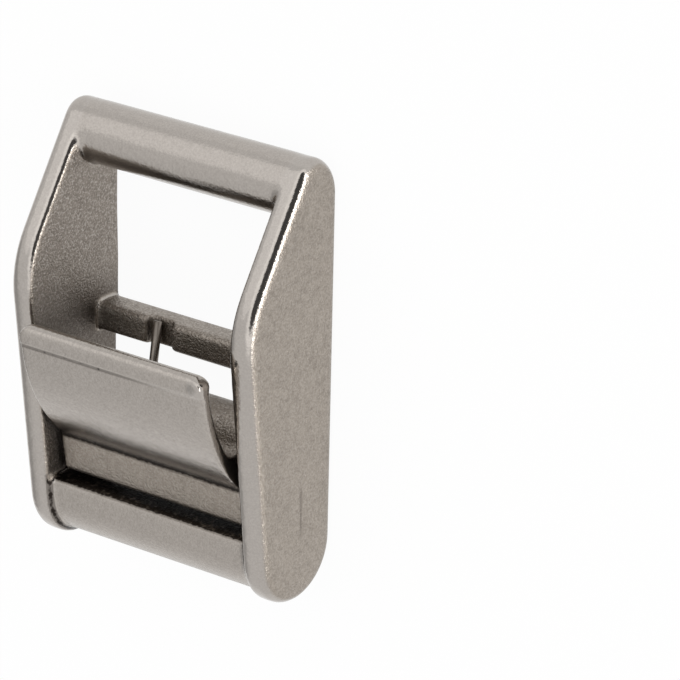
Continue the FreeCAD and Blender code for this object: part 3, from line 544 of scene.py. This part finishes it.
def lever_rounder(place):
    """The ends of the thumb plate are rounder than the cam's."""
    above_pin = place.y - PIN.y / MM
    return ramp(above_pin, -5, -3) * ramp(abs(place.x), 11.2, 11.8) * ramp(place.z, 10, 11.5)


def swell(piece, towards, middle, radius, height):
    """Raises a low round bump on the piece, as a drop of extra metal in the mould leaves. Sizes are in mm."""
    for vert in piece.data.vertices:
        away = (vert.co / MM - middle).cross(towards).length / radius
        if away < 1 and (vert.co / MM - middle).length < 2 * radius:
            slope = cos(away * pi / 2) ** 2
            vert.co += towards * height * MM * slope * ramp(vert.normal @ towards, 0.0, 0.5)


def finish_piece(piece, material, body=None):
    """Gives the piece its material and slot, and the body it moves with if it is only one."""
    piece.data.materials.clear()
    piece.data.materials.append(material)
    piece.data.shade_smooth()
    if body:
        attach(piece, body)


def draw_out(wire, ring, reach):
    """Pulls an open end of the wire out straight and closes its tip."""
    drawn = bmesh.ops.extrude_edge_only(wire, edges=ring)["geom"]
    tip_verts = [item for item in drawn if isinstance(item, bmesh.types.BMVert)]
    tip_edges = [item for item in drawn if isinstance(item, bmesh.types.BMEdge)
                 and all(vert in tip_verts for vert in item.verts)]
    bmesh.ops.translate(wire, verts=tip_verts, vec=reach)
    bmesh.ops.contextual_create(wire, geom=tip_edges)


class BUCKLE_OT_frame(Operator):
    """Skin the frame casting"""

    bl_idname = "buckle.frame"
    bl_label = "Frame casting"

    def execute(self, context):
        castings, finish = context.scene.buckle_castings, context.scene.buckle_finish
        piece = soft_skin(cad_copy("frame", "frame_casting"), castings.frame_grain, castings.frame_rounds,
                          castings.extra_rounds, frame_rounder)
        swell(piece, CORNER_OUT, **RIM_DROP)
        mark_skin(piece, "tumbled", frame_tumbled)
        mark_skin(piece, "grime_and_shade", frame_grime_and_shade)
        finish_piece(piece, tumbled_casting(finish), "frame")
        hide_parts("frame")
        return {"FINISHED"}


class BUCKLE_OT_lever(Operator):
    """Skin the lever casting"""

    bl_idname = "buckle.lever"
    bl_label = "Cam lever casting"

    def execute(self, context):
        castings, finish = context.scene.buckle_castings, context.scene.buckle_finish
        piece = soft_skin(cad_copy("cam_lever", "lever_casting"), castings.lever_grain, castings.lever_rounds,
                          castings.extra_rounds, lever_rounder)
        swell(piece, CORNER_OUT, **BEAD_DROP)
        mark_skin(piece, "tumbled", lever_tumbled)
        mark_skin(piece, "grime_and_shade", lever_painted_shade)
        finish_piece(piece, tumbled_casting(finish), "lever")
        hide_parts("cam_lever")
        return {"FINISHED"}


class BUCKLE_OT_pin(Operator):
    """Turn the pivot pin, with a small round on each end"""

    bl_idname = "buckle.pin"
    bl_label = "Pivot pin"

    def execute(self, context):
        low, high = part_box("pivot_pin")
        radius = (high.y - low.y) / 2
        pin = bmesh.new()
        along_x = Matrix.Rotation(pi / 2, 4, "Y")
        bmesh.ops.create_cone(pin, cap_ends=True, segments=96, radius1=radius, radius2=radius,
                              depth=high.x - low.x, matrix=Matrix.Translation((low + high) / 2) @ along_x)
        rims = [edge for edge in pin.edges if len(edge.link_faces) == 2
                and abs(edge.calc_face_angle()) > pi / 4]
        bmesh.ops.bevel(pin, geom=rims, offset=0.3 * MM, affect="EDGES", segments=4, profile=0.5, material=-1)
        piece = new_piece(pin, "ground_pin")
        finish_piece(piece, ground_steel(context.scene.buckle_finish), "frame")
        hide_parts("pivot_pin")
        return {"FINISHED"}


class BUCKLE_OT_spring(Operator):
    """Wind the torsion spring and draw out its two legs"""

    bl_idname = "buckle.spring"
    bl_label = "Torsion spring"

    def execute(self, context):
        spring = context.scene.buckle_spring
        axis = Vector((1, 0, 0))
        start = -pi / 2 - spring.tilt
        outward = Vector((0, cos(start), sin(start)))
        middle = PIN + Vector((spring.left, 0, 0)) + outward * spring.coil
        along = Vector((0, -outward.z, outward.y))
        wire = bmesh.new()
        to_section = Matrix((axis, outward, along)).transposed().to_4x4()
        bmesh.ops.create_circle(wire, cap_ends=False, segments=16, radius=spring.wire / 2,
                                matrix=Matrix.Translation(middle) @ to_section)
        ring = wire.edges[:]
        draw_out(wire, ring, along * spring.notch_leg)

        steps = round(spring.turns * 40)
        step = axis * spring.pitch * spring.turns / steps
        wound = bmesh.ops.spin(wire, geom=ring, cent=PIN, axis=-axis, dvec=step, angle=spring.turns * tau,
                               steps=steps, use_duplicate=False)
        far = [item for item in wound["geom_last"] if isinstance(item, bmesh.types.BMEdge)]
        turned = Matrix.Rotation(-spring.turns * tau, 3, "X")
        draw_out(wire, far, turned @ -along * spring.thumb_leg)
        bmesh.ops.remove_doubles(wire, verts=wire.verts, dist=1e-7)
        bmesh.ops.recalc_face_normals(wire, faces=wire.faces)

        piece = new_piece(wire, "spring_wire")
        finish_piece(piece, drawn_wire(context.scene.buckle_finish))
        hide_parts("torsion_spring")
        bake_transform(piece)
        return {"FINISHED"}


class BUCKLE_OT_stage(Operator):
    """Set the floor, the lamps and the photograph's camera"""

    bl_idname = "buckle.stage"
    bl_label = "Floor, lamps and camera"

    def execute(self, context):
        scene, stage = context.scene, context.scene.buckle_stage
        card = bmesh.new()
        bmesh.ops.create_grid(card, x_segments=1, y_segments=1, size=FLOOR_HALF)
        floor = new_piece(card, "floor")
        floor.data.materials.append(white_card(scene.buckle_finish))

        camera = bpy.data.cameras.new("camera")
        camera.lens = stage.focal
        camera.sensor_width = SENSOR_WIDTH
        camera.clip_end = CLIP_END
        eye = bpy.data.objects.new("camera", camera)
        turn = Matrix((CAMERA_RIGHT, CAMERA_UP, CAMERA_BACK)).transposed().to_4x4()
        eye.matrix_world = Matrix.Translation(CAMERA_SPOT) @ turn
        scene.collection.objects.link(eye)
        scene.camera = eye

        for name, spot, size, power in (("key lamp", KEY_SPOT, KEY_SIZE, stage.key),
                                        ("strip lamp", STRIP_SPOT, STRIP_SIZE, stage.strip)):
            lamp = bpy.data.lights.new(name, "AREA")
            lamp.shape = "RECTANGLE"
            lamp.size, lamp.size_y = size
            lamp.energy = power
            holder = bpy.data.objects.new(name, lamp)
            holder.matrix_world = Matrix.Translation(spot) @ spot.to_track_quat("Z", "Y").to_matrix().to_4x4()
            scene.collection.objects.link(holder)
        scene.world = white_room(stage)
        scene.view_settings.view_transform = "Standard"
        return {"FINISHED"}


class BUCKLE_PT_panel(Panel):
    """Shows the buckle's sizes, colours and lights, and a button for each piece"""

    bl_idname = "BUCKLE_PT_panel"
    bl_label = "Cam buckle"
    bl_space_type = "VIEW_3D"
    bl_region_type = "UI"
    bl_category = "Buckle"

    def draw(self, context):
        for settings in (context.scene.buckle_castings, context.scene.buckle_spring,
                         context.scene.buckle_finish, context.scene.buckle_stage):
            box = self.layout.box()
            for name in settings.__annotations__:
                box.prop(settings, name)
        for operator in OPERATORS:
            self.layout.operator(operator.bl_idname)


SETTINGS = {"buckle_castings": CastingSettings, "buckle_spring": SpringSettings,
            "buckle_finish": FinishSettings, "buckle_stage": StageSettings}
OPERATORS = (BUCKLE_OT_frame, BUCKLE_OT_lever, BUCKLE_OT_pin, BUCKLE_OT_spring, BUCKLE_OT_stage)


def register():
    for group in SETTINGS.values():
        bpy.utils.register_class(group)
    for name, group in SETTINGS.items():
        setattr(bpy.types.Scene, name, PointerProperty(type=group))
    for item in (*OPERATORS, BUCKLE_PT_panel):
        bpy.utils.register_class(item)


def unregister():
    for item in (BUCKLE_PT_panel, *reversed(OPERATORS)):
        bpy.utils.unregister_class(item)
    for name in SETTINGS:
        delattr(bpy.types.Scene, name)
    for group in SETTINGS.values():
        bpy.utils.unregister_class(group)


def main():
    register()
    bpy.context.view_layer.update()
    bpy.ops.buckle.frame()
    bpy.ops.buckle.lever()
    bpy.ops.buckle.pin()
    bpy.ops.buckle.spring()
    bpy.ops.buckle.stage()


if __name__ == "__main__":
    main()
